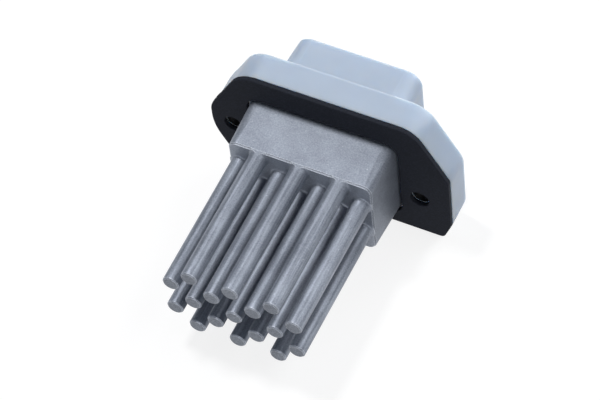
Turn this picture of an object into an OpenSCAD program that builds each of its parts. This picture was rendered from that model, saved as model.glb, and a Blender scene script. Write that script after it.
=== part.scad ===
// Blower motor resistor: a die-cast pin heat sink in a moulded flange housing,
// with the power stage and its circuit board between them and a plug socket at the back.
// Bench frame: x along the long side, y up the flange, z along the pins, zero at the seal face.
// The finished part lies with its pins forward, so each piece is turned once by in_place().

/* [Heat sink] */
// Distance between the pins of one row
pin_pitch = 12; // [11:0.5:14]
// Distance between one row of pins and the next
row_pitch = 5.7; // [5.4:0.1:7]
// Pin diameter where it leaves the block
pin_root_d = 5.3; // [4.9:0.1:5.8]
// Pin diameter at the tip
pin_tip_d = 4.8; // [4:0.1:4.8]
// Pin length from the block to the tip
pin_len = 42.5; // [20:0.5:60]
// Fillet where a pin meets the block
pin_fillet = 0.7; // [0.2:0.1:1.2]
// Chamfer round a pin's tip
pin_tip_chamfer = 0.35; // [0.1:0.05:0.8]
// Metal outside the end pins along the long side
end_margin = 0.55; // [0.3:0.05:3]
// Height of the block from the seal face to the pins
block_h = 14.3; // [10:0.5:24]
// Lean of each side over the block height
block_draft = 0.6; // [0.2:0.1:1.2]
// Radius of the upright edges at the pin face
block_edge_r = 2.6; // [1.6:0.1:4]
// Step in from the block's sides to the pin face
land_step = 0.3; // [0.1:0.05:0.4]
// Height of that step
land_h = 0.45; // [0.2:0.05:0.8]
// Depth of the block behind the seal face
base_depth = 4; // [3:0.5:6]

/* [Flange] */
// Flange thickness without the gasket
flange_t = 8.4; // [8:0.2:14]
// Left ear beyond the block
ear_left = 12.7; // [12:0.1:18]
// Right ear beyond the block
ear_right = 15.4; // [14:0.1:20]
// Flange above the block
margin_top = 9.25; // [8:0.25:14]
// Flange below the block
margin_bottom = 5.15; // [4:0.05:10]
// Height of the nose's upper corner above the pin centre
nose_top = 6.2; // [6:0.1:9]
// Height of the nose's lower corner below the pin centre
nose_bottom = 2.75; // [2.5:0.25:5]
// Height of the right edge's upper corner above the pin centre
right_top = 6.4; // [2:0.2:9]
// Height of the right edge's lower corner below the pin centre
right_bottom = 13.7; // [12:0.1:15]
// Slope of the sides from the top edge down
upper_slope = 60.5; // [55:0.5:70]
// Slope of the left side up from the bottom edge
lower_slope = 62.5; // [55:0.5:70]
// Slope of the small cut at the lower right corner
cut_slope = 69.5; // [60:0.5:80]
// Radius of the upper left corner
top_left_r = 8.5; // [3:0.5:10]
// Radius of the upper right corner
top_right_r = 8; // [3:0.5:8]
// Radius of the upper end of the nose
nose_upper_r = 8; // [3:0.5:9]
// Radius of the lower end of the nose
nose_lower_r = 18; // [10:1:20]
// Radius of the lower left corner
bottom_left_r = 6; // [3:0.5:8]
// Radius of the flange's two corners on the right
right_corner_r = 8; // [2:0.5:9]
// Radius of the gasket's corners on the right and of the lowest corner of both
small_corner_r = 1.8; // [1:0.1:3]
// Thickness of the moulded walls
wall = 2; // [1.6:0.1:2.4]

/* [Fixing holes] */
// Diameter of the holes for the fixing screws
fixing_d = 5.2; // [4:0.1:6]
// Diameter of the boss round each fixing hole
fixing_boss_d = 9.6; // [8.6:0.2:11]
// Distance of the left hole from the block
left_hole_out = 6; // [5.8:0.1:7]
// Height of the left hole above the pin centre
left_hole_y = 0.6; // [-2:0.1:3]
// Distance of the right hole from the block
right_hole_out = 6.3; // [5.8:0.1:9]
// Height of the right hole above the pin centre
right_hole_y = -5.2; // [-9:0.1:2]

/* [Gasket] */
// Gasket thickness
gasket_t = 1.5; // [1:0.1:3]
// How far the gasket stays inside the flange outline
gasket_inset = 0.15; // [0.05:0.05:0.6]
// How far the flange's left side stands back from the gasket's
left_back = 0.9; // [0:0.1:1.2]
// Diameter of the gasket's screw holes
gasket_hole_d = 5.6; // [5.6:0.1:7]
// Gap between the block and the gasket
gasket_gap = 0.8; // [0.4:0.1:1.2]

/* [Connector box] */
// Length of the box at its end face
box_len = 36.9; // [35.5:0.1:42]
// Offset of the box from the pin centre along the long side
box_shift = 2.95; // [2:0.05:4]
// Height of the box above the back of the flange
box_h = 10; // [9:0.5:14]
// Lean of each side over the box height
box_draft = 0.5; // [0.2:0.1:0.9]
// Radius of the upright edges at the end face
box_edge_r = 4.7; // [3:0.1:5]
// Chamfer round the end face
box_chamfer = 0.5; // [0.3:0.1:1]
// Step between the flange's top face and the box
box_step = 0.15; // [0.1:0.05:0.5]
// Length of the plug socket
socket_len = 24; // [23:0.5:27]
// Width of the plug socket
socket_w = 10.6; // [10.2:0.2:11.4]
// Corner radius of the plug socket
socket_r = 1.5; // [0.5:0.25:2.5]
// Thickness of the socket floor
socket_floor = 1.6; // [1.2:0.1:2]
// Length of the latch channel beside the socket
latch_len = 10; // [7:0.5:12]
// Depth of the latch channel beyond the socket
latch_w = 3.8; // [2:0.2:4.4]
// Height of the latch bump in its channel
latch_bump = 1.1; // [0.6:0.1:1.5]
// Width of the component bay below the socket
bay_w = 8.3; // [8.1:0.1:10]

/* [Terminals] */
// Width of the wide blades
wide_blade_w = 6.3; // [4.8:0.1:6.3]
// Width of the narrow blades
narrow_blade_w = 2.8; // [2.2:0.1:3]
// Thickness of all blades
blade_t = 0.8; // [0.6:0.05:1]
// How far the blade tips stay inside the socket
blade_recess = 2.6; // [1:0.2:4]
// Gap between neighbouring blades
blade_gap = 1.2; // [0.9:0.1:1.3]

/* [Electronics] */
// Thickness of the circuit board
board_t = 1.6; // [1:0.1:1.6]
// Gap between the heat sink's back and the board
board_gap = 1.3; // [1.2:0.05:1.4]
// Depth of the heat sink's pocket for the transistor
pocket_depth = 5; // [4.9:0.1:8]
// Length of the pocket across the pin rows
pocket_len = 22; // [21.5:0.25:23]
// Width of the pocket
pocket_w = 15; // [14:0.5:17]
// Width of the transistor
transistor_w = 10; // [9.8:0.1:10.6]
// Thickness of the transistor's moulded body above its tab
transistor_t = 4.5; // [4.2:0.1:4.6]
// Thickness of the transistor's metal tab
tab_t = 1.3; // [1:0.05:1.4]
// Thickness of the insulating pad
pad_t = 0.25; // [0.1:0.05:0.4]
// Diameter of the electrolytic capacitor
can_d = 6.3; // [5:0.1:7.5]
// Length of the electrolytic capacitor
can_len = 11; // [9:0.5:11.5]

/* [Screws] */
// Shank diameter of the three housing screws
housing_screw_d = 3; // [2.5:0.1:3]
// Length of the housing screws under the head
housing_screw_len = 10; // [8:0.5:12]
// Shank diameter of the transistor screw
clamp_screw_d = 3; // [2.5:0.1:3.4]
// Length of the transistor screw under the head
clamp_screw_len = 8; // [6:0.5:9]

/* [Clearances] */
// Gap between the block and its opening in the housing
block_gap = 0.4; // [0.2:0.05:0.6]
// Gap round leads, pegs and screws in their holes
hole_gap = 0.1; // [0.05:0.05:0.15]

/* [Hidden] */
$fn = 64;

// A small overlap that joins one shape to the next
eps = 0.5;

// Rows of pins: how many stand in each, from the top row down
row_counts = [3, 4, 3, 4, 3];
row_count = len(row_counts);
longest_row = max(row_counts);

// Block sizes at the pin face, at the seal face and at its back
block_len = (longest_row - 1) * pin_pitch + pin_root_d + 2 * end_margin;
block_w = (row_count - 1) * row_pitch + pin_root_d;
lean = block_draft / block_h;
seat_len = block_len + 2 * block_draft;
seat_w = block_w + 2 * block_draft;
back_len = seat_len + 2 * lean * base_depth;
back_w = seat_w + 2 * lean * base_depth;
back_edge_r = block_edge_r + lean * (block_h + base_depth);
root_sink = land_h + 0.2;
pocket_r = 2;

// A root ring reaches a little into its pin and is cut a little inside the block's width,
// so that its faces cross the pin's side and never only touch it
root_bite = pin_fillet * (pin_root_d - pin_tip_d) / (2 * pin_len) + 0.01;
root_trim = 0.03;

// Levels along the pins
z_block_back = -base_depth;
z_flange = -gasket_t;
z_flange_back = z_flange - flange_t;
z_inner_back = z_flange_back + wall;
z_box_end = z_flange_back - box_h;
z_board_top = z_block_back - board_gap;
z_board = z_board_top - board_t;
floor_gap = 0.5;
z_socket_top = z_board - floor_gap;
z_socket = z_socket_top - socket_floor;

// Outline of the flange or of the gasket, from how far its left side stands back and
// the radius of its right corners: x, y and radius of each corner, anticlockwise from
// the lower right
x_left = -seat_len / 2 - ear_left;
x_right = seat_len / 2 + ear_right;
y_top = seat_w / 2 + margin_top;
y_bottom = -seat_w / 2 - margin_bottom;
function outline(back, right_r) = [
    [x_right - (-right_bottom - y_bottom) / tan(cut_slope), y_bottom, small_corner_r],
    [x_right, -right_bottom, right_r],
    [x_right, right_top, right_r],
    [x_right - (y_top - right_top) / tan(upper_slope), y_top, top_right_r],
    [x_left + back + (y_top - nose_top) / tan(upper_slope), y_top, top_left_r],
    [x_left + back, nose_top, nose_upper_r],
    [x_left + back, -nose_bottom, nose_lower_r],
    [x_left + back + (-nose_bottom - y_bottom) / tan(lower_slope), y_bottom, bottom_left_r]
];
flange_corners = outline(left_back, right_corner_r);
gasket_corners = inset(outline(0, small_corner_r), gasket_inset);
fixing_holes = [
    [-seat_len / 2 - left_hole_out, left_hole_y],
    [seat_len / 2 + right_hole_out, right_hole_y]
];

// Room for the board behind the block, and the board in it
room_len = back_len - 2 * wall;
room_w = back_w - 2 * wall;
room_r = 2;
board_side_gap = 0.6;
board_len = room_len - 2 * board_side_gap;
board_w = room_w - 2 * board_side_gap;

// Plug socket: its blades stand just inside the board's upper edge
board_rim = 1;
socket_y = board_w / 2 - board_rim - hole_gap - blade_t / 2;
socket_y0 = socket_y - socket_w / 2;
socket_y1 = socket_y + socket_w / 2;
socket_wall = 1.6;

// Connector box at its end face, with the bay for the tall components below the socket
box_x0 = box_shift - box_len / 2;
box_x1 = box_shift + box_len / 2;
bay_x0 = box_x0 + wall;
bay_x1 = box_x1 - wall;
bay_y1 = socket_y0 - socket_wall;
bay_y0 = bay_y1 - bay_w;
bay_y = (bay_y0 + bay_y1) / 2;
bay_r = 1.5;
box_y0 = bay_y0 - wall;
box_y1 = y_top - box_step - box_draft;
box_w = box_y1 - box_y0;

// Housing screws: one in each corner that the box leaves free
screw_in = 4.1;
screw_x = back_len / 2 - screw_in;
screw_y = back_w / 2 - screw_in;
screw_places = [[-screw_x, screw_y], [-screw_x, -screw_y], [screw_x, -screw_y]];
screw_head_d = 5.6;
screw_head_h = 2;
screw_well_d = screw_head_d + 0.8;
screw_well_h = 2.6;
screw_tube_d = screw_well_d + 1.6;
z_screw_seat = z_flange_back + screw_well_h;

// Cuts in the board's corners, clear of the screw tubes
tube_gap = 0.5;
notch_x = board_len / 2 - (screw_x - screw_tube_d / 2 - tube_gap);
notch_y = board_w / 2 - (screw_y - screw_tube_d / 2 - tube_gap);
peg_d = 2.2;
peg_pad_d = 4;
peg_in = 2.6;
peg_places = [
    [-board_len / 2 + peg_in, 0],
    [board_len / 4, -board_w / 2 + peg_in],
    [board_len / 2 - peg_in, board_w / 2 - peg_in]
];

// Terminals stand in one row across the socket: wide, narrow, narrow, wide
blade_row = 2 * wide_blade_w + 2 * narrow_blade_w + 3 * blade_gap;
blade_x0 = box_shift - blade_row / 2;
power_x = blade_x0 + wide_blade_w / 2;
signal_x = blade_x0 + wide_blade_w + blade_gap + narrow_blade_w / 2;
ground_x = signal_x + narrow_blade_w + blade_gap;
motor_x = blade_x0 + blade_row - wide_blade_w / 2;
leg_w = 1.4;
leg_out = 0.7;
z_blade_tip = z_box_end + blade_recess;

// Transistor in the pocket, tab at the top and leads at the bottom
z_pocket = z_block_back + pocket_depth;
z_pad = z_pocket - pad_t;
tab_len = 6.4;
body_len = 9.1;
transistor_in = 1.5;
transistor_y1 = pocket_len / 2 - transistor_in;
body_y1 = transistor_y1 - tab_len;
body_y0 = body_y1 - body_len;
tab_hole_d = 3.7;
clamp_in = 2.9;
clamp_y = transistor_y1 - clamp_in;
lead_pitch = 2.54;
lead_t = 0.5;
lead_w = 0.8;
lead_run = 2.4;
lead_drop = 2.4;
lead_z = z_pad - lead_drop;
lead_y = body_y0 - lead_run;
lead_out = 0.7;
z_lead_end = z_board - lead_out;
washer_t = 0.8;
washer_d = 6;
clamp_head_d = 1.8 * clamp_screw_d;
clamp_head_h = 0.6 * clamp_screw_d;

// Components in the bay hang from the board, with wires through it
wire_d = 0.6;
wire_out = 0.8;
z_wire_top = z_board_top + wire_out;
can_standoff = 0.3;
can_z = z_board - can_standoff - can_d / 2;
bay_gap = 0.4;
part_gap = 0.5;
parts_x1 = min(bay_x1, board_len / 2) - bay_gap;
can_x0 = bay_x0 + bay_gap;
bung_t = 1.4;
can_x1 = can_x0 + can_len;
can_wire_run = 1;
can_wire_x = can_x1 + bung_t + can_wire_run;
can_wire_pitch = 2.5;
shunt_w = 1.6;
shunt_t = 0.5;
shunt_span = 5.6;
shunt_drop = 4;
shunt_x = parts_x1 - shunt_w / 2;
amp_leg_w = 0.5;
amp_leg_t = 0.3;
amp_side_gap = 0.2;
amp_span = bay_w - 2 * amp_side_gap - amp_leg_t;
amp_foot = 0.65;
amp_w = amp_span - 2 * amp_foot;
amp_len = 9.4;
amp_h = 3.3;
amp_standoff = 0.6;
amp_x = parts_x1 - shunt_w - part_gap - amp_len / 2;
amp_dimple_d = 1.6;
amp_dimple_h = 0.4;
disc_d = 5;
disc_t = 2;
disc_x = amp_x - amp_len / 2 - part_gap - disc_t / 2;
disc_standoff = 1.5;
disc_z = z_board - disc_standoff - disc_d / 2;
disc_wire_pitch = 3;

// Small parts on the board's front, between the pocket and the left edge
chip_len = 3.2;
chip_w = 1.6;
chip_h = 0.6;
chip_in = 5.9;
chip_x = -board_len / 2 + chip_in;
chip_y = -2;
chip_step = 2.6;
chip_places = [for (i = [-1, 0, 1]) [chip_x, chip_y + i * chip_step]];
diode_len = 2.6;
diode_d = 1;
diode_x = chip_x;
diode_y = 4.6;
diode_cap = 0.5;

function corner(c, i) = [c[i].x, c[i].y];
function unit(v) = v / norm(v);
function to_last(c, i) = unit(corner(c, (i + len(c) - 1) % len(c)) - corner(c, i));
function to_next(c, i) = unit(corner(c, (i + 1) % len(c)) - corner(c, i));
function half_turn(c, i) = acos(-to_last(c, i) * to_next(c, i)) / 2;
function inward(c, i, d) = unit(to_last(c, i) + to_next(c, i)) * d / cos(half_turn(c, i));

// The same outline, moved in by d on every side
function inset(c, d) = [
    for (i = [0 : len(c) - 1])
        let (p = corner(c, i) + inward(c, i, d)) [p.x, p.y, max(c[i][2] - d, 0.4)]
];

// Convex outline with a true arc in each corner
module rounded_outline(c) {
    function cut(i) = c[i][2] * tan(half_turn(c, i));
    polygon([
        for (i = [0 : len(c) - 1], side = [0, 1])
            corner(c, i) + cut(i) * (side == 0 ? to_last(c, i) : to_next(c, i))
    ]);
    for (i = [0 : len(c) - 1])
        translate(corner(c, i) + inward(c, i, c[i][2])) circle(r = c[i][2]);
}

module rounded_rect(x0, x1, y0, y1, r) {
    rounded_outline([[x0, y0, r], [x1, y0, r], [x1, y1, r], [x0, y1, r]]);
}

// Slab from z0 up to z1
module slab(z0, z1) {
    translate([0, 0, z0]) linear_extrude(z1 - z0) children();
}

// Block whose four sides lean in by taper over its height, with conical corners
module leaning_block(length, width, r, h, taper) {
    cx = length / 2 - r;
    cy = width / 2 - r;
    for (sx = [-1, 1], sy = [-1, 1])
        translate([sx * cx, sy * cy, 0]) cylinder(r1 = r, r2 = r - taper, h = h);
    rotate([90, 0, 0]) linear_extrude(2 * cy, center = true) leaning_profile(length, h, taper);
    rotate([90, 0, 90]) linear_extrude(2 * cx, center = true) leaning_profile(width, h, taper);
}

module leaning_profile(base, h, taper) {
    polygon([[-base / 2, 0], [base / 2, 0], [base / 2 - taper, h], [-base / 2 + taper, h]]);
}

// Turns the bench frame into the part's own frame: pins forward, flange upright
module in_place() {
    rotate([90, 0, 0]) children();
}

module at_pins() {
    for (row = [0 : row_count - 1], i = [0 : row_counts[row] - 1])
        translate([
            (i - (row_counts[row] - 1) / 2) * pin_pitch,
            ((row_count - 1) / 2 - row) * row_pitch,
            block_h
        ]) children();
}

module pin() {
    translate([0, 0, -2 * eps]) cylinder(d = pin_root_d, h = 2 * eps);
    cylinder(d1 = pin_root_d, d2 = pin_tip_d, h = pin_len - pin_tip_chamfer);
    translate([0, 0, pin_len - pin_tip_chamfer])
        cylinder(d1 = pin_tip_d, d2 = pin_tip_d - 2 * pin_tip_chamfer, h = pin_tip_chamfer);
}

// Concave ring that runs from a pin's side into the block's face
module pin_root() {
    outer = pin_root_d / 2 + pin_fillet - root_bite;
    rotate_extrude() difference() {
        translate([pin_root_d / 2 - eps, -root_sink])
            square([outer - pin_root_d / 2 + eps, pin_fillet + root_sink]);
        translate([outer, pin_fillet]) circle(r = pin_fillet);
    }
}

module heat_sink() {
    shoulder = block_h - land_h;
    color([0.60, 0.62, 0.66]) difference() {
        union() {
            translate([0, 0, z_block_back]) leaning_block(
                back_len, back_w, back_edge_r, shoulder + base_depth, lean * (shoulder + base_depth));
            translate([0, 0, shoulder - eps]) leaning_block(
                block_len - 2 * land_step, block_w - 2 * land_step,
                block_edge_r - land_step, land_h + eps, 0);
            at_pins() pin();
            intersection() {
                at_pins() pin_root();
                translate([-block_len / 2, root_trim - block_w / 2, block_h - root_sink])
                    cube([block_len, block_w - 2 * root_trim, root_sink + pin_fillet]);
            }
        }
        slab(z_block_back - eps, z_pocket)
            rounded_rect(-pocket_w / 2, pocket_w / 2, -pocket_len / 2, pocket_len / 2, pocket_r);
        translate([0, clamp_y, z_pocket - eps])
            cylinder(d = clamp_screw_d + 2 * hole_gap, h = clamp_screw_len + eps);
        for (p = screw_places)
            translate([p.x, p.y, z_block_back - eps])
                cylinder(d = housing_screw_d + 2 * hole_gap, h = housing_screw_len + eps);
    }
}

module gasket() {
    gap = gasket_gap;
    color([0.10, 0.10, 0.11]) slab(-gasket_t, 0) difference() {
        rounded_outline(gasket_corners);
        rounded_rect(-seat_len / 2 - gap, seat_len / 2 + gap, -seat_w / 2 - gap, seat_w / 2 + gap,
            back_edge_r + gap);
        for (p = fixing_holes) translate(p) circle(d = gasket_hole_d);
    }
}

// Hollow from the back in each ear, with the fixing boss and its ribs left standing
module ear_hollows() {
    inner = inset(flange_corners, wall);
    ear_x = back_len / 2 + block_gap + wall;
    side = ear_left + ear_right;
    rib = 0.75 * wall;
    slab(z_flange_back - eps, z_flange - 1.2 * wall) difference() {
        intersection() {
            rounded_outline(inner);
            union() {
                translate([-ear_x - side, y_bottom]) square([side, y_top - y_bottom]);
                translate([ear_x, y_bottom]) square([side, y_top - y_bottom]);
            }
        }
        for (p = fixing_holes) translate(p) {
            circle(d = fixing_boss_d);
            translate([-side / 2, -rib / 2]) square([side, rib]);
            translate([-rib / 2, -y_top]) square([rib, 2 * y_top]);
        }
    }
}

module plug_socket() {
    slab(z_box_end - eps, z_socket) {
        rounded_rect(box_shift - socket_len / 2, box_shift + socket_len / 2,
            socket_y0, socket_y1, socket_r);
        translate([box_shift - latch_len / 2, socket_y1 - eps]) square([latch_len, latch_w + eps]);
    }
}

// Wedge that the plug's latch snaps behind
module latch_wedge() {
    ramp = 3;
    depth = 2.5;
    width = 0.6 * latch_len;
    translate([box_shift - width / 2, socket_y1 + latch_w, z_box_end + depth])
        rotate([90, 0, 90]) linear_extrude(width)
            polygon([[eps, 0], [0, 0], [-latch_bump, ramp], [0, ramp + 0.6], [eps, ramp + 0.6]]);
}

module box_outside() {
    body_h = box_h - box_chamfer + 2 * eps;
    body_taper = box_draft * body_h / box_h;
    translate([box_shift, (box_y0 + box_y1) / 2, z_flange_back + 2 * eps]) mirror([0, 0, 1]) {
        leaning_block(box_len + 2 * body_taper, box_w + 2 * body_taper,
            box_edge_r + body_taper, body_h, body_taper);
        translate([0, 0, body_h])
            leaning_block(box_len, box_w, box_edge_r, box_chamfer, box_chamfer);
    }
}

module terminal_slots(grow) {
    for (t = [[power_x, wide_blade_w], [signal_x, narrow_blade_w],
              [ground_x, narrow_blade_w], [motor_x, wide_blade_w]])
        translate([t.x - t.y / 2 - grow, socket_y - blade_t / 2 - grow])
            square([t.y + 2 * grow, blade_t + 2 * grow]);
}

module housing() {
    opening_x = back_len / 2 + block_gap;
    opening_y = back_w / 2 + block_gap;
    color([0.80, 0.87, 0.93]) {
        difference() {
            union() {
                slab(z_flange_back, z_flange) rounded_outline(flange_corners);
                box_outside();
            }
            slab(z_block_back, z_flange + eps)
                rounded_rect(-opening_x, opening_x, -opening_y, opening_y, back_edge_r + block_gap);
            difference() {
                slab(z_inner_back, z_block_back + eps)
                    rounded_rect(-room_len / 2, room_len / 2, -room_w / 2, room_w / 2, room_r);
                slab(z_inner_back - eps, z_block_back) for (p = screw_places)
                    translate(p) circle(d = screw_tube_d);
                slab(z_inner_back - eps, z_socket_top)
                    translate([box_x0, bay_y1]) square([box_x1 - box_x0, room_w]);
            }
            slab(z_box_end + wall, z_inner_back + eps)
                rounded_rect(bay_x0, bay_x1, bay_y0, bay_y1, bay_r);
            plug_socket();
            slab(z_socket - eps, z_socket_top + eps) terminal_slots(hole_gap);
            ear_hollows();
            for (p = fixing_holes) translate([p.x, p.y, z_flange_back - eps])
                cylinder(d = fixing_d, h = flange_t + 2 * eps);
            for (p = screw_places) translate([p.x, p.y, 0]) {
                translate([0, 0, z_box_end - eps])
                    cylinder(d = screw_well_d, h = z_screw_seat - z_box_end + eps);
                translate([0, 0, z_flange_back])
                    cylinder(d = housing_screw_d + 4 * hole_gap, h = flange_t);
            }
        }
        latch_wedge();
        for (p = peg_places) translate([p.x, p.y, 0]) {
            translate([0, 0, z_inner_back - eps]) cylinder(d = peg_pad_d, h = z_board - z_inner_back + eps);
            translate([0, 0, z_board - eps]) cylinder(d = peg_d, h = board_t + eps + 0.4);
        }
    }
}

// Pan head screw, head at z = 0 and below, shank up
module pan_screw(d, length, head_d, head_h) {
    difference() {
        union() {
            cylinder(d = d, h = length - d / 2);
            translate([0, 0, length - d / 2]) cylinder(d1 = d, d2 = d / 2, h = d / 2);
            translate([0, 0, -head_h]) cylinder(d1 = 0.8 * head_d, d2 = head_d, h = 0.4 * head_h);
            translate([0, 0, -0.6 * head_h]) cylinder(d = head_d, h = 0.6 * head_h);
        }
        for (a = [0, 90]) rotate(a)
            translate([-0.3 * head_d, -0.08 * head_d, -head_h - eps])
                cube([0.6 * head_d, 0.16 * head_d, 0.5 * head_h + eps]);
    }
}

module housing_screws() {
    color([0.62, 0.62, 0.60]) for (p = screw_places)
        translate([p.x, p.y, z_screw_seat])
            pan_screw(housing_screw_d, housing_screw_len - 1, screw_head_d, screw_head_h);
}

module insulating_pad() {
    color([0.55, 0.60, 0.62]) slab(z_pad, z_pocket) difference() {
        translate([-transistor_w / 2 - 1, body_y0 - 1])
            square([transistor_w + 2, tab_len + body_len + 2]);
        translate([0, clamp_y]) circle(d = clamp_screw_d + 2 * hole_gap);
    }
}

module transistor_tab() {
    color([0.72, 0.70, 0.66]) slab(z_pad - tab_t, z_pad) difference() {
        translate([-transistor_w / 2, body_y1]) square([transistor_w, tab_len]);
        translate([0, clamp_y]) circle(d = tab_hole_d);
    }
}

module transistor_body() {
    draft = 0.4;
    color([0.13, 0.13, 0.14]) translate([-transistor_w / 2, 0, z_pad])
        rotate([90, 0, 90]) linear_extrude(transistor_w)
            polygon([
                [body_y0, 0], [body_y0, -transistor_t],
                [body_y1 - draft, -transistor_t], [body_y1, -tab_t], [body_y1, 0]
            ]);
}

module transistor_leads() {
    color([0.74, 0.72, 0.68]) for (i = [-1, 0, 1])
        translate([i * lead_pitch - lead_w / 2, 0, 0]) {
            translate([0, lead_y, lead_z - lead_t]) cube([lead_w, lead_run, lead_t]);
            translate([0, lead_y, z_lead_end]) cube([lead_w, lead_t, lead_z - z_lead_end]);
        }
}

module spring_washer() {
    color([0.55, 0.55, 0.56]) translate([0, clamp_y, z_pad - tab_t - washer_t]) difference() {
        cylinder(d = washer_d, h = washer_t);
        translate([0, 0, -eps]) cylinder(d = clamp_screw_d + 2 * hole_gap, h = washer_t + 2 * eps);
    }
}

module transistor_screw() {
    under_head = pad_t + tab_t + washer_t;
    color([0.62, 0.62, 0.60]) translate([0, clamp_y, z_pocket - under_head])
        pan_screw(clamp_screw_d, clamp_screw_len + under_head - 1, clamp_head_d, clamp_head_h);
}

module circuit_board() {
    hole = wire_d + 2 * hole_gap;
    color([0.16, 0.38, 0.24]) slab(z_board, z_board_top) difference() {
        translate([-board_len / 2, -board_w / 2]) square([board_len, board_w]);
        for (p = screw_places)
            translate([
                p.x < 0 ? -board_len / 2 - eps : board_len / 2 - notch_x,
                p.y < 0 ? -board_w / 2 - eps : board_w / 2 - notch_y
            ]) square([notch_x + eps, notch_y + eps]);
        for (p = peg_places) translate(p) circle(d = peg_d + 2 * hole_gap);
        for (x = [power_x, motor_x], side = [-1, 1])
            translate([x + side * (wide_blade_w - leg_w) / 2 - leg_w / 2 - hole_gap,
                       socket_y - blade_t / 2 - hole_gap])
                square([leg_w + 2 * hole_gap, blade_t + 2 * hole_gap]);
        for (x = [signal_x, ground_x])
            translate([x - leg_w / 2 - hole_gap, socket_y - blade_t / 2 - hole_gap])
                square([leg_w + 2 * hole_gap, blade_t + 2 * hole_gap]);
        for (i = [-1, 0, 1])
            translate([i * lead_pitch - lead_w / 2 - hole_gap, lead_y - hole_gap])
                square([lead_w + 2 * hole_gap, lead_t + 2 * hole_gap]);
        for (s = [-1, 1]) {
            translate([can_wire_x, bay_y + s * can_wire_pitch / 2]) circle(d = hole);
            translate([disc_x, bay_y + s * disc_wire_pitch / 2]) circle(d = hole);
            translate([shunt_x - shunt_w / 2 - hole_gap,
                       bay_y + s * (shunt_span - shunt_t) / 2 - shunt_t / 2 - hole_gap])
                square([shunt_w + 2 * hole_gap, shunt_t + 2 * hole_gap]);
        }
        at_amplifier_legs()
            square([amp_leg_w + 2 * hole_gap, amp_leg_t + 2 * hole_gap], center = true);
    }
}

// Flat blade with a pointed tip and one or two legs through the board
module terminal(x, w, legs) {
    point = 0.25 * w;
    color([0.80, 0.72, 0.50]) translate([x, socket_y + blade_t / 2, 0])
        rotate([90, 0, 0]) linear_extrude(blade_t) {
            polygon([
                [-w / 2, z_board], [-w / 2, z_blade_tip + point], [-w / 2 + point, z_blade_tip],
                [w / 2 - point, z_blade_tip], [w / 2, z_blade_tip + point], [w / 2, z_board]
            ]);
            for (i = [0 : legs - 1])
                translate([(i - (legs - 1) / 2) * (w - leg_w) - leg_w / 2, z_board - eps])
                    square([leg_w, board_t + leg_out + eps]);
        }
}

module power_terminal() {
    terminal(power_x, wide_blade_w, 2);
}

module motor_terminal() {
    terminal(motor_x, wide_blade_w, 2);
}

module signal_terminal() {
    terminal(signal_x, narrow_blade_w, 1);
}

module ground_terminal() {
    terminal(ground_x, narrow_blade_w, 1);
}

module capacitor_can() {
    groove = 0.35;
    color([0.66, 0.68, 0.70]) translate([can_x0, bay_y, can_z]) rotate([0, 90, 0]) difference() {
        cylinder(d = can_d, h = can_len);
        translate([0, 0, can_len - 2]) rotate_extrude() translate([can_d / 2, 0]) circle(r = groove);
    }
}

module capacitor_bung() {
    color([0.15, 0.15, 0.15]) translate([can_x1, bay_y, can_z]) rotate([0, 90, 0]) difference() {
        cylinder(d = can_d - 1.2, h = bung_t);
        for (s = [-1, 1]) translate([0, s * can_wire_pitch / 2, -eps])
            cylinder(d = wire_d, h = bung_t + 2 * eps);
    }
}

module capacitor_leads() {
    color([0.76, 0.76, 0.74]) for (s = [-1, 1])
        translate([0, bay_y + s * can_wire_pitch / 2, can_z]) {
            translate([can_x1, 0, 0]) rotate([0, 90, 0]) cylinder(d = wire_d, h = can_wire_x - can_x1);
            translate([can_wire_x, 0, 0]) sphere(d = wire_d);
            translate([can_wire_x, 0, 0]) cylinder(d = wire_d, h = z_wire_top - can_z);
        }
}

module amplifier_body() {
    draft = 0.25;
    color([0.12, 0.12, 0.13]) translate([amp_x, bay_y, z_board - amp_standoff]) difference() {
        translate([-amp_len / 2, 0, 0]) rotate([90, 0, 90]) linear_extrude(amp_len) polygon([
            [-amp_w / 2 + draft, 0], [amp_w / 2 - draft, 0], [amp_w / 2, -amp_h / 2],
            [amp_w / 2 - draft, -amp_h], [-amp_w / 2 + draft, -amp_h], [-amp_w / 2, -amp_h / 2]
        ]);
        translate([-amp_len / 2, 0, -amp_h - eps]) cylinder(d = amp_dimple_d, h = amp_dimple_h + eps);
    }
}

module at_amplifier_legs() {
    for (i = [-1.5 : 1.5], s = [-1, 1])
        translate([amp_x + i * lead_pitch, bay_y + s * amp_span / 2]) children();
}

module amplifier_leads() {
    shoulder_z = z_board - amp_standoff - amp_h / 2;
    reach = (amp_span - amp_w + amp_leg_t) / 2;
    foot_z = shoulder_z - amp_leg_t / 2;
    color([0.74, 0.72, 0.68]) for (i = [-1.5 : 1.5], s = [-1, 1])
        translate([amp_x + i * lead_pitch - amp_leg_w / 2, bay_y, foot_z]) {
            translate([0, s * (amp_w + reach) / 2 - reach / 2, 0])
                cube([amp_leg_w, reach, amp_leg_t]);
            translate([0, (s * amp_span - amp_leg_t) / 2, 0])
                cube([amp_leg_w, amp_leg_t, z_wire_top - foot_z]);
        }
}

module ceramic_capacitor() {
    color([0.76, 0.48, 0.20]) translate([disc_x - disc_t / 2, bay_y, disc_z])
        rotate([0, 90, 0]) cylinder(d = disc_d, h = disc_t);
}

module ceramic_capacitor_leads() {
    drop = sqrt(pow(disc_d / 2, 2) - pow(disc_wire_pitch / 2 + wire_d / 2, 2));
    color([0.76, 0.76, 0.74]) difference() {
        for (s = [-1, 1]) translate([disc_x, bay_y + s * disc_wire_pitch / 2, disc_z + drop - 0.2])
            cylinder(d = wire_d, h = z_wire_top - disc_z - drop + 0.2);
        translate([disc_x - disc_t, bay_y, disc_z]) rotate([0, 90, 0]) cylinder(d = disc_d, h = 2 * disc_t);
    }
}

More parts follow.
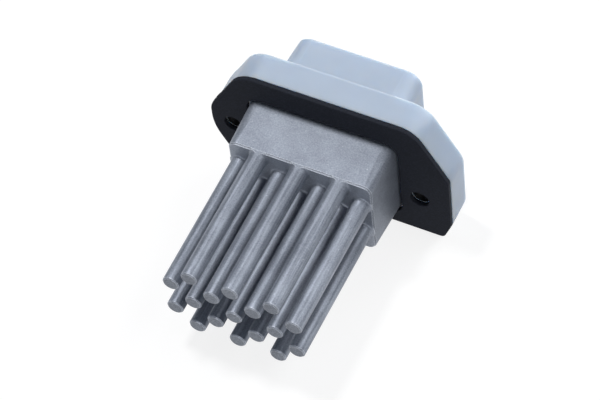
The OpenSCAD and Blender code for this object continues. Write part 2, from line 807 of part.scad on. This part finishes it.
// Flat resistance strip bent to a square loop
module current_shunt() {
    z_low = z_board - shunt_drop;
    color([0.58, 0.52, 0.44]) translate([shunt_x - shunt_w / 2, bay_y - shunt_span / 2, 0]) {
        translate([0, 0, z_low]) cube([shunt_w, shunt_span, shunt_t]);
        for (y = [0, shunt_span - shunt_t])
            translate([0, y, z_low]) cube([shunt_w, shunt_t, z_wire_top - z_low]);
    }
}

module chip_resistors() {
    color([0.20, 0.20, 0.22]) for (p = chip_places)
        translate([p.x - chip_len / 2, p.y - chip_w / 2, z_board_top]) cube([chip_len, chip_w, chip_h]);
}

module diode_body() {
    color([0.70, 0.42, 0.22]) translate([diode_x - diode_len / 2, diode_y, z_board_top + diode_d / 2])
        rotate([0, 90, 0]) cylinder(d = diode_d, h = diode_len);
}

module diode_caps() {
    color([0.76, 0.76, 0.74]) for (s = [-1, 1])
        translate([diode_x + s * (diode_len + diode_cap) / 2, diode_y, z_board_top + diode_d / 2])
            rotate([0, 90, 0]) cylinder(d = diode_d, h = diode_cap, center = true);
}

in_place() heat_sink();
in_place() gasket();
in_place() housing();
in_place() housing_screws();
in_place() insulating_pad();
in_place() transistor_tab();
in_place() transistor_body();
in_place() transistor_leads();
in_place() spring_washer();
in_place() transistor_screw();
in_place() circuit_board();
in_place() power_terminal();
in_place() motor_terminal();
in_place() signal_terminal();
in_place() ground_terminal();
in_place() capacitor_can();
in_place() capacitor_bung();
in_place() capacitor_leads();
in_place() amplifier_body();
in_place() amplifier_leads();
in_place() ceramic_capacitor();
in_place() ceramic_capacitor_leads();
in_place() current_shunt();
in_place() chip_resistors();
in_place() diode_body();
in_place() diode_caps();
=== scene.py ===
import math

import bpy
from mathutils import Matrix, Vector


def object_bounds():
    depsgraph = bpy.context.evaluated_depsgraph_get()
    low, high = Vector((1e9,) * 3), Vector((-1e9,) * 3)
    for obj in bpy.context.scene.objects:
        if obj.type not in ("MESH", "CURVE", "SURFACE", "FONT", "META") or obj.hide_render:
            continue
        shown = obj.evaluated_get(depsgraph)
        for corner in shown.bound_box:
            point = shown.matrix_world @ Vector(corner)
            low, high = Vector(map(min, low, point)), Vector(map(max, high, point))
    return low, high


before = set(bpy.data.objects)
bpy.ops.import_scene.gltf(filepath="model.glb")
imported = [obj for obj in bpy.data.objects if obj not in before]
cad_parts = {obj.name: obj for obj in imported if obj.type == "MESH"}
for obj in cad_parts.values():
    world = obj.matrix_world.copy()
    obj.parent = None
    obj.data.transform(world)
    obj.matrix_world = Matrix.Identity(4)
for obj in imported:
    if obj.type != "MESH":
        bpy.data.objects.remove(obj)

bpy.context.view_layer.update()
cad_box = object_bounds()

MM = 0.001
# The Mix node's sockets by number: its factor, then its colours and its plain values
FACTOR = 0
COLOUR_A, COLOUR_B, COLOUR_MIXED = 6, 7, 2
VALUE_A, VALUE_B, VALUE_MIXED = 2, 3, 0
WHITE = (1, 1, 1, 1)

# The brightest metal tone is painted highlight, for the glints and the edges
METAL_DARK, METAL_LIGHT, METAL_HIGHLIGHT = "#7E8490", "#A9B0BC", "#DDE2EA"
FOAM_DARK, FOAM_LIGHT = "#181B22", "#242833"
# The last tone here is painted shade inside the fixing holes
NYLON_DARK, NYLON_LIGHT, HOLE_SHADE = "#B1BECE", "#B9C6D6", "#15161A"
FLOOR_GREY = "#808080"
# A dim, slightly blue room round the lamps
ROOM = "#3B4350"

# The block's front face, where its pins begin, and the plane of their ends
PIN_FACE = -14.3 * MM
PIN_ENDS = cad_box[0].y
# The housing's two fixing holes: the places of their axes, and a ring just outside their walls
FIXING_HOLES = [(-27.8 * MM, 0, 0.6 * MM), (28.1 * MM, 0, -5.2 * MM)]
HOLE_RING = (2.65 * MM, 2.8 * MM)
FLOOR_LEVEL = cad_box[0].z
FLOOR_REACH = 4.0
# How much the white background adds to the floor's own light
FLOOR_LIFT = 0.83
LAMP_REACH = 0.9


def linear(code):
    """The linear colour of an sRGB hex code such as "#9CA3B0"."""
    parts = [int(code[i:i + 2], 16) / 255 for i in (1, 3, 5)]
    return tuple(c / 12.92 if c <= 0.04045 else ((c + 0.055) / 1.055) ** 2.4 for c in parts) + (1.0,)


def add(tree, kind, sockets=None, **settings):
    """Adds a node with its settings, and fills its inputs from values or from other nodes' outputs."""
    node = tree.nodes.new("ShaderNode" + kind)
    for name, value in settings.items():
        setattr(node, name, value)
    for name, value in (sockets or {}).items():
        if isinstance(value, bpy.types.NodeSocket):
            tree.links.new(value, node.inputs[name])
        else:
            node.inputs[name].default_value = value
    return node


def new_material(name):
    """An empty material, its node tree, its surface shader and the place of each point in metres."""
    material = bpy.data.materials.new(name)
    material.use_nodes = True
    tree = material.node_tree
    shader = tree.nodes["Principled BSDF"]
    place = add(tree, "TexCoord").outputs["Object"]
    return material, tree, shader, place


def die_cast_aluminium():
    """Die-cast aluminium, shot blasted: a dull cool grey whose fine grain scatters the light, with draw
    marks along the pins, painted glints, painted highlights along the edges, and painted shade in the
    recesses and on the pins' flat ends."""
    material, tree, shader, place = new_material("die_cast_aluminium")
    # The blast grain is about 0.1 mm, drawn coarser so that it shows
    grain_size, cloud_size, mark_size, glint_size = 0.4 * MM, 6 * MM, 0.6 * MM, 0.9 * MM
    grain = add(tree, "TexNoise", {
        "Vector": place, "Scale": 1 / grain_size, "Detail": 3.0, "Roughness": 0.7,
    })
    clouds = add(tree, "TexNoise", {"Vector": place, "Scale": 1 / cloud_size, "Detail": 2.0})
    clouds = add(tree, "MapRange", {"Value": clouds.outputs[0], "To Min": 0.3, "To Max": 0.7})
    # Draw marks, 25 times as long as wide, that begin within 3 mm of the pins' roots
    drawn = add(tree, "Mapping", {"Vector": place, "Scale": (1.0, 0.04, 1.0)})
    marks = add(tree, "TexNoise", {"Vector": drawn.outputs[0], "Scale": 1 / mark_size, "Detail": 2.0})
    along = add(tree, "SeparateXYZ", {0: place}).outputs["Y"]
    on_pins = add(tree, "MapRange", {
        "Value": along, "From Min": PIN_FACE, "From Max": PIN_FACE - 3 * MM,
    })
    marks = add(tree, "Mix", {
        FACTOR: on_pins.outputs[0], VALUE_A: 0.5, VALUE_B: marks.outputs[0],
    })
    mottle = add(tree, "Math", {0: grain.outputs[0], 1: marks.outputs[VALUE_MIXED]}, operation="ADD")
    mottle = add(tree, "Math", {0: mottle.outputs[0], 1: clouds.outputs[0]}, operation="ADD")
    tone = add(tree, "MapRange", {"Value": mottle.outputs[0], "From Min": 1.25, "From Max": 1.75})
    metal = add(tree, "Mix", {
        FACTOR: tone.outputs[0], COLOUR_A: linear(METAL_DARK), COLOUR_B: linear(METAL_LIGHT),
    }, data_type="RGBA")
    # Painted glints: single bright grains, here and there
    painted_glints = add(tree, "TexNoise", {"Vector": place, "Scale": 1 / glint_size, "Detail": 1.0})
    painted_glints = add(tree, "MapRange", {
        "Value": painted_glints.outputs[0], "From Min": 0.72, "From Max": 0.8, "To Max": 0.4,
    })
    metal = add(tree, "Mix", {
        FACTOR: painted_glints.outputs[0], COLOUR_A: metal.outputs[COLOUR_MIXED], COLOUR_B: linear(METAL_HIGHLIGHT),
    }, data_type="RGBA")
    # Painted highlight along the edges, where the surface turns within 0.32 mm
    turned = add(tree, "Bevel", {"Radius": 0.32 * MM}, samples=4)
    straight = add(tree, "NewGeometry").outputs["Normal"]
    turning = add(tree, "VectorMath", {0: turned.outputs[0], 1: straight}, operation="DOT_PRODUCT")
    edge_highlight = add(tree, "MapRange", {
        "Value": turning.outputs["Value"], "From Min": 0.998, "From Max": 0.95, "To Max": 1.0,
    })
    metal = add(tree, "Mix", {
        FACTOR: edge_highlight.outputs[0], COLOUR_A: metal.outputs[COLOUR_MIXED], COLOUR_B: linear(METAL_HIGHLIGHT),
    }, data_type="RGBA")
    # Painted shade in the recesses, darker where the part closes round a point within 1.2 mm
    open_sky = add(tree, "AmbientOcclusion", {"Distance": 1.2 * MM}, samples=6, only_local=True)
    skin = add(tree, "MapRange", {
        "Value": open_sky.outputs["AO"], "From Min": 0.3, "From Max": 0.8, "To Min": 0.6,
    })
    metal = add(tree, "Mix", {
        FACTOR: 1.0, COLOUR_A: metal.outputs[COLOUR_MIXED], COLOUR_B: skin.outputs[0],
    }, data_type="RGBA", blend_type="MULTIPLY")
    # Painted shade: the pins' flat ends, coloured darker
    ends = add(tree, "MapRange", {
        "Value": along, "From Min": PIN_ENDS + 0.1 * MM, "From Max": PIN_ENDS + 0.02 * MM,
        "To Min": 1.0, "To Max": 0.66,
    })
    metal = add(tree, "Mix", {
        FACTOR: 1.0, COLOUR_A: metal.outputs[COLOUR_MIXED], COLOUR_B: ends.outputs[0],
    }, data_type="RGBA", blend_type="MULTIPLY")
    matte = add(tree, "MapRange", {"Value": grain.outputs[0], "To Min": 0.45, "To Max": 0.57})
    bump = add(tree, "Bump", {"Height": mottle.outputs[0], "Distance": 0.03 * MM, "Strength": 0.6})
    tree.links.new(metal.outputs[COLOUR_MIXED], shader.inputs["Base Color"])
    tree.links.new(matte.outputs[0], shader.inputs["Roughness"])
    tree.links.new(bump.outputs[0], shader.inputs["Normal"])
    shader.inputs["Metallic"].default_value = 0.55
    return material


def foam_rubber():
    """Closed-cell black foam, die cut: a bluish black, dull, with fine open cells."""
    material, tree, shader, place = new_material("foam_rubber")
    cell_size = 0.5 * MM
    cells = add(tree, "TexVoronoi", {"Vector": place, "Scale": 1 / cell_size})
    tone = add(tree, "Mix", {
        FACTOR: cells.outputs["Distance"], COLOUR_A: linear(FOAM_DARK), COLOUR_B: linear(FOAM_LIGHT),
    }, data_type="RGBA")
    bump = add(tree, "Bump", {"Height": cells.outputs["Distance"], "Distance": 0.04 * MM, "Strength": 0.5})
    tree.links.new(tone.outputs[COLOUR_MIXED], shader.inputs["Base Color"])
    tree.links.new(bump.outputs[0], shader.inputs["Normal"])
    shader.inputs["Roughness"].default_value = 0.85
    shader.inputs["Specular IOR Level"].default_value = 0.25
    return material


def natural_nylon():
    """Natural nylon, injection moulded: milky and faintly blue. Light soaks into it, so its edges look
    soft. Its two fixing holes are painted black inside as shade."""
    material, tree, shader, place = new_material("natural_nylon")
    cloud_size, skin_size = 9 * MM, 0.3 * MM
    clouds = add(tree, "TexNoise", {"Vector": place, "Scale": 1 / cloud_size, "Detail": 2.0})
    tone = add(tree, "Mix", {
        FACTOR: clouds.outputs[0], COLOUR_A: linear(NYLON_DARK), COLOUR_B: linear(NYLON_LIGHT),
    }, data_type="RGBA")
    flat_place = add(tree, "VectorMath", {0: place, 1: (1, 0, 1)}, operation="MULTIPLY").outputs[0]
    inside, outside = HOLE_RING
    # Painted shade: each fixing hole's wall is coloured black
    for hole in FIXING_HOLES:
        off = add(tree, "VectorMath", {0: flat_place, 1: hole}, operation="DISTANCE").outputs["Value"]
        hole_shade = add(tree, "MapRange", {"Value": off, "From Min": outside, "From Max": inside})
        tone = add(tree, "Mix", {
            FACTOR: hole_shade.outputs[0], COLOUR_A: tone.outputs[COLOUR_MIXED], COLOUR_B: linear(HOLE_SHADE),
        }, data_type="RGBA")
    skin = add(tree, "TexNoise", {"Vector": place, "Scale": 1 / skin_size, "Detail": 2.0})
    bump = add(tree, "Bump", {"Height": skin.outputs[0], "Distance": 0.01 * MM, "Strength": 0.3})
    tree.links.new(tone.outputs[COLOUR_MIXED], shader.inputs["Base Color"])
    tree.links.new(bump.outputs[0], shader.inputs["Normal"])
    shader.inputs["Roughness"].default_value = 0.42
    shader.inputs["IOR"].default_value = 1.53
    shader.inputs["Subsurface Weight"].default_value = 1.0
    shader.inputs["Subsurface Radius"].default_value = (0.7, 0.85, 1.0)
    shader.inputs["Subsurface Scale"].default_value = 4 * MM
    return material


def small_finish(name, dark, light, grain_mm, roughness, metallic=0.0, recess=1.0):
    """A small part's finish: two close tones in a fine grain, darker by the factor recess where narrow
    recesses shut out the light."""
    material, tree, shader, place = new_material(name)
    grain = add(tree, "TexNoise", {"Vector": place, "Scale": 1 / (grain_mm * MM), "Detail": 2.0})
    tone = add(tree, "Mix", {
        FACTOR: grain.outputs[0], COLOUR_A: linear(dark), COLOUR_B: linear(light),
    }, data_type="RGBA")
    if recess < 1.0:
        open_sky = add(tree, "AmbientOcclusion", {"Distance": 0.8 * MM}, samples=8, only_local=True)
        shut_in = add(tree, "MapRange", {
            "Value": open_sky.outputs["AO"], "From Min": 0.5, "From Max": 0.9, "To Min": recess,
        })
        tone = add(tree, "Mix", {
            FACTOR: 1.0, COLOUR_A: tone.outputs[COLOUR_MIXED], COLOUR_B: shut_in.outputs[0],
        }, data_type="RGBA", blend_type="MULTIPLY")
    tree.links.new(tone.outputs[COLOUR_MIXED], shader.inputs["Base Color"])
    shader.inputs["Roughness"].default_value = roughness
    shader.inputs["Metallic"].default_value = metallic
    return material


def dress(names, material):
    """Gives CAD nodes their material."""
    for name in names:
        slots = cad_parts[name].data.materials
        slots.clear()
        slots.append(material)


def soften(name, width, sharp_angle):
    """Rounds a CAD node's edges that turn by more than an angle in degrees."""
    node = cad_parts[name]
    weld = node.modifiers.new("weld", "WELD")
    weld.merge_threshold = 0.0005 * MM
    flat = node.modifiers.new("flat_faces", "DECIMATE")
    flat.decimate_type = "DISSOLVE"
    flat.angle_limit = math.radians(0.2)
    bevel = node.modifiers.new("edges", "BEVEL")
    bevel.width = width
    bevel.segments = 3
    bevel.limit_method = "ANGLE"
    bevel.angle_limit = math.radians(sharp_angle)
    bevel.harden_normals = False


dress(["heat_sink"], die_cast_aluminium())
dress(["gasket"], foam_rubber())
dress(["housing"], natural_nylon())
# Bright zinc plating: a shiny warm grey, with painted shade that turns the screws' cross recesses black
dress(["housing_screws", "transistor_screw", "spring_washer"],
      small_finish("zinc_plated_steel", "#9C9C98", "#B9B8B0", 0.6, 0.35, 1.0, 0.25))
# Hot tin: a pale soft sheen
dress(["transistor_tab", "transistor_leads", "capacitor_leads", "amplifier_leads",
       "ceramic_capacitor_leads", "diode_caps"],
      small_finish("tinned_metal", "#A9A9A4", "#C4C3BC", 0.5, 0.3, 1.0))
# Thinly tinned brass: pale gold blades in the plug socket
dress(["power_terminal", "motor_terminal", "signal_terminal", "ground_terminal"],
      small_finish("tinned_brass", "#B7AE94", "#D0C6A6", 0.5, 0.3, 1.0))
# Moulded epoxy: a fine matte black
dress(["transistor_body", "amplifier_body"],
      small_finish("moulded_epoxy", "#17171A", "#212125", 0.3, 0.55))
# Solder mask: a satin green
dress(["circuit_board"], small_finish("solder_mask", "#1B5A35", "#226B40", 1.5, 0.35))
# Silicone: a dull blue grey
dress(["insulating_pad"], small_finish("silicone_pad", "#8C959A", "#9AA3A8", 0.5, 0.8))
# A drawn can: clean, light and satin
dress(["capacitor_can"], small_finish("drawn_aluminium", "#B5B8BA", "#C6C8CA", 0.8, 0.3, 1.0))
# Moulded rubber: a dull black
dress(["capacitor_bung"], small_finish("moulded_rubber", "#1A1A1A", "#242424", 0.4, 0.8))
# A dipped resin coat: glossy ochre
dress(["ceramic_capacitor"], small_finish("dipped_resin", "#B87A36", "#C98A44", 0.8, 0.35))
# Rolled resistance alloy: a brownish grey metal
dress(["current_shunt"], small_finish("alloy_strip", "#8F867A", "#A39A8C", 0.4, 0.4, 1.0))
# Glazed chips: a glossy near black
dress(["chip_resistors"], small_finish("glazed_ceramic", "#1D1D20", "#29292D", 0.4, 0.25))
# A sealed glass bead: glossy amber
dress(["diode_body"], small_finish("sealed_glass", "#A85A2C", "#BF6D3A", 0.4, 0.15))

soften("heat_sink", 0.28 * MM, 25)
soften("housing", 0.5 * MM, 30)
soften("gasket", 0.25 * MM, 30)

floor_mesh = bpy.data.meshes.new("floor")
floor_mesh.from_pydata([
    (-FLOOR_REACH, -FLOOR_REACH, FLOOR_LEVEL), (FLOOR_REACH, -FLOOR_REACH, FLOOR_LEVEL),
    (FLOOR_REACH, FLOOR_REACH, FLOOR_LEVEL), (-FLOOR_REACH, FLOOR_REACH, FLOOR_LEVEL),
], [], [(0, 1, 2, 3)])
floor = bpy.data.objects.new("floor", floor_mesh)
bpy.context.scene.collection.objects.link(floor)
# A matt floor that the camera, metal and glass see as white, and that keeps the part's shadow
floor_material, tree, shader, _ = new_material("white_floor")
rays = add(tree, "LightPath").outputs
seen = add(tree, "Math", {0: rays["Is Camera Ray"], 1: rays["Is Glossy Ray"]}, operation="MAXIMUM")
seen = add(tree, "Math", {0: seen.outputs[0], 1: rays["Is Transmission Ray"]}, operation="MAXIMUM")
lift = add(tree, "Math", {0: seen.outputs[0], 1: FLOOR_LIFT}, operation="MULTIPLY")
shader.inputs["Base Color"].default_value = linear(FLOOR_GREY)
shader.inputs["Roughness"].default_value = 0.9
shader.inputs["Specular IOR Level"].default_value = 0.0
shader.inputs["Emission Color"].default_value = WHITE
tree.links.new(lift.outputs[0], shader.inputs["Emission Strength"])
floor_mesh.materials.append(floor_material)

world = bpy.data.worlds.new("studio")
bpy.context.scene.world = world
world.use_nodes = True
tree = world.node_tree
seen = add(tree, "LightPath").outputs["Is Camera Ray"]
colour = add(tree, "Mix", {FACTOR: seen, COLOUR_A: linear(ROOM), COLOUR_B: WHITE}, data_type="RGBA")
tree.links.new(colour.outputs[COLOUR_MIXED], tree.nodes["Background"].inputs["Color"])


def soft_box(name, azimuth, elevation, width, depth, level):
    """A soft lamp, LAMP_REACH away; at level 1 it alone would show a white sheet facing it as white."""
    data = bpy.data.lights.new(name, "AREA")
    data.shape = "RECTANGLE"
    data.size = width
    data.size_y = depth
    data.energy = level * (math.pi * LAMP_REACH) ** 2
    lamp = bpy.data.objects.new(name, data)
    flat = math.cos(math.radians(elevation))
    towards = Vector((
        flat * math.cos(math.radians(azimuth)), flat * math.sin(math.radians(azimuth)),
        math.sin(math.radians(elevation)),
    ))
    lamp.location = towards * LAMP_REACH
    lamp.rotation_euler = towards.to_track_quat("Z", "Y").to_euler()
    bpy.context.scene.collection.objects.link(lamp)


# Name, azimuth from +X and elevation in degrees, width and depth in metres, level
soft_box("key", 167, 70, 0.14, 0.14, 0.58)
soft_box("right_box", 15, 53, 0.7, 0.3, 0.32)
soft_box("right_fill", 60, 12, 0.3, 0.3, 0.55)
soft_box("front_fill", 272, 11, 0.3, 0.3, 0.27)
soft_box("back_fill", 95, 14, 1.2, 0.5, 0.24)

# The photograph's camera, which was fitted to the pin tips, the block and the flange
CAMERA_PLACE = Vector((0.2447, -0.4137, 0.6592))
CAMERA_RIGHT = Vector((0.9003, 0.4287, -0.0754))
CAMERA_UP = Vector((-0.3126, 0.7574, 0.5733))
CAMERA_LENS_MM = 179.4
camera_data = bpy.data.cameras.new("camera")
camera_data.lens = CAMERA_LENS_MM
camera_data.sensor_width = 36
camera_data.clip_start = 0.05
camera = bpy.data.objects.new("camera", camera_data)
back = CAMERA_RIGHT.cross(CAMERA_UP).normalized()
turn = Matrix((CAMERA_RIGHT, CAMERA_UP, back)).transposed().to_4x4()
camera.matrix_world = Matrix.Translation(CAMERA_PLACE) @ turn
bpy.context.scene.collection.objects.link(camera)
bpy.context.scene.camera = camera

bpy.context.scene.view_settings.view_transform = "Standard"
bpy.context.view_layer.update()
